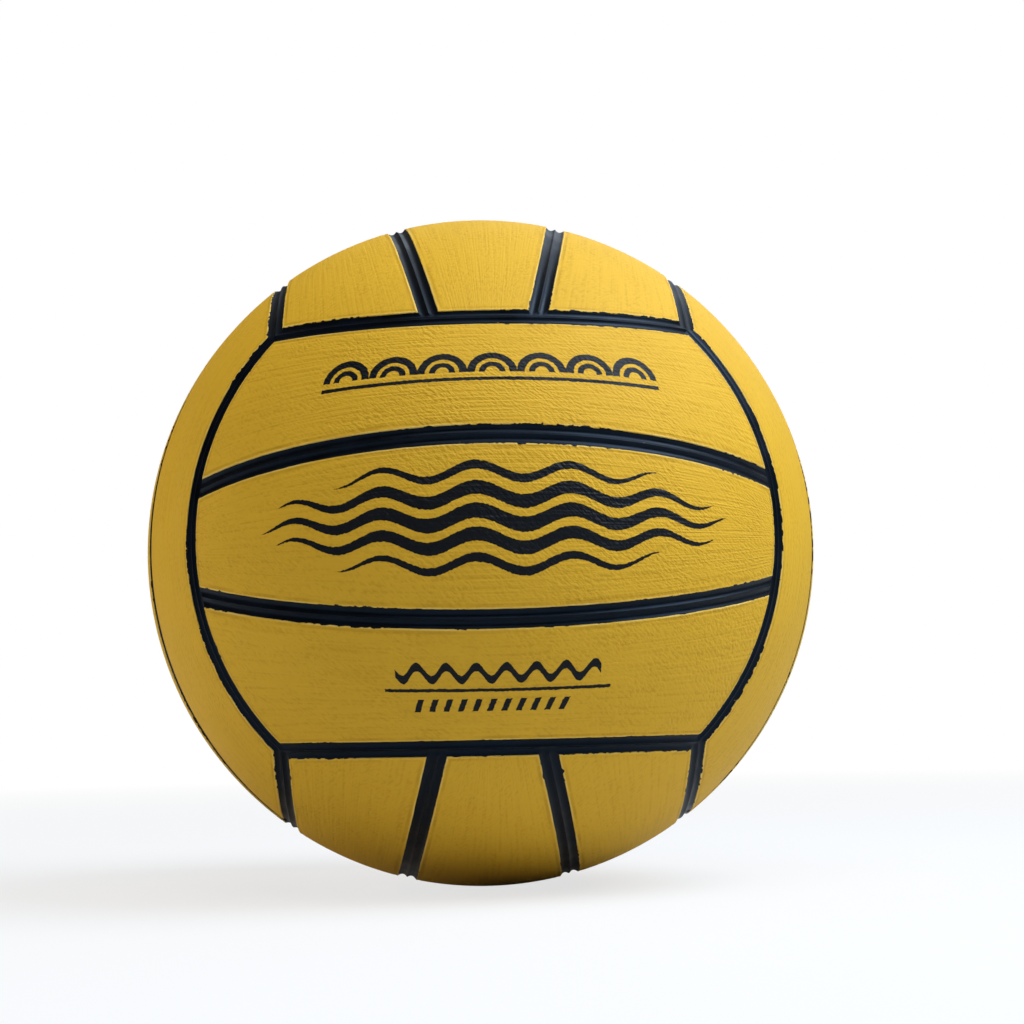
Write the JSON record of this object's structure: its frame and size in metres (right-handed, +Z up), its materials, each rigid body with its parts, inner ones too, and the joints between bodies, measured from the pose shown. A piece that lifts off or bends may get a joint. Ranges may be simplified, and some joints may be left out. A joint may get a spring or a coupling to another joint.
{
  "type": "water polo ball",
  "caption": "Inflated full-size water polo ball with strip panels in six faces, moulded twin-groove channels and a needle valve at the back.",
  "frame": {"origin": "centre of the ball", "axes": "+Z up, -Y out of the front face, +Y out of the valve at the back, +X to the right"},
  "size_m": [0.222, 0.2219, 0.222],
  "materials": {
    "panel_rubber": "matte yellow rubber, finely pebbled",
    "carcass_rubber": "black rubber, half gloss in the channels",
    "nylon_thread": "wound nylon thread with latex",
    "butyl_rubber": "smooth black butyl",
    "patch_canvas": "rubbered canvas",
    "valve_rubber": "moulded black rubber",
    "core_rubber": "moulded black rubber, waxed"
  },
  "bodies": {
    "root": {"front_centre_panel": "panel_rubber", "front_upper_panel": "panel_rubber", "front_lower_panel": "panel_rubber", "back_centre_panel": "panel_rubber", "back_upper_panel": "panel_rubber", "back_lower_panel": "panel_rubber", "left_centre_panel": "panel_rubber", "left_front_panel": "panel_rubber", "left_rear_panel": "panel_rubber", "right_centre_panel": "panel_rubber", "right_front_panel": "panel_rubber", "right_rear_panel": "panel_rubber", "top_centre_panel": "panel_rubber", "top_left_panel": "panel_rubber", "top_right_panel": "panel_rubber", "bottom_centre_panel": "panel_rubber", "bottom_left_panel": "panel_rubber", "bottom_right_panel": "panel_rubber", "carcass": "carcass_rubber", "nylon_winding": "nylon_thread", "bladder": "butyl_rubber", "valve_patch": "patch_canvas", "valve_housing": "valve_rubber", "valve_core": "core_rubber"}
  },
  "joints": []
}
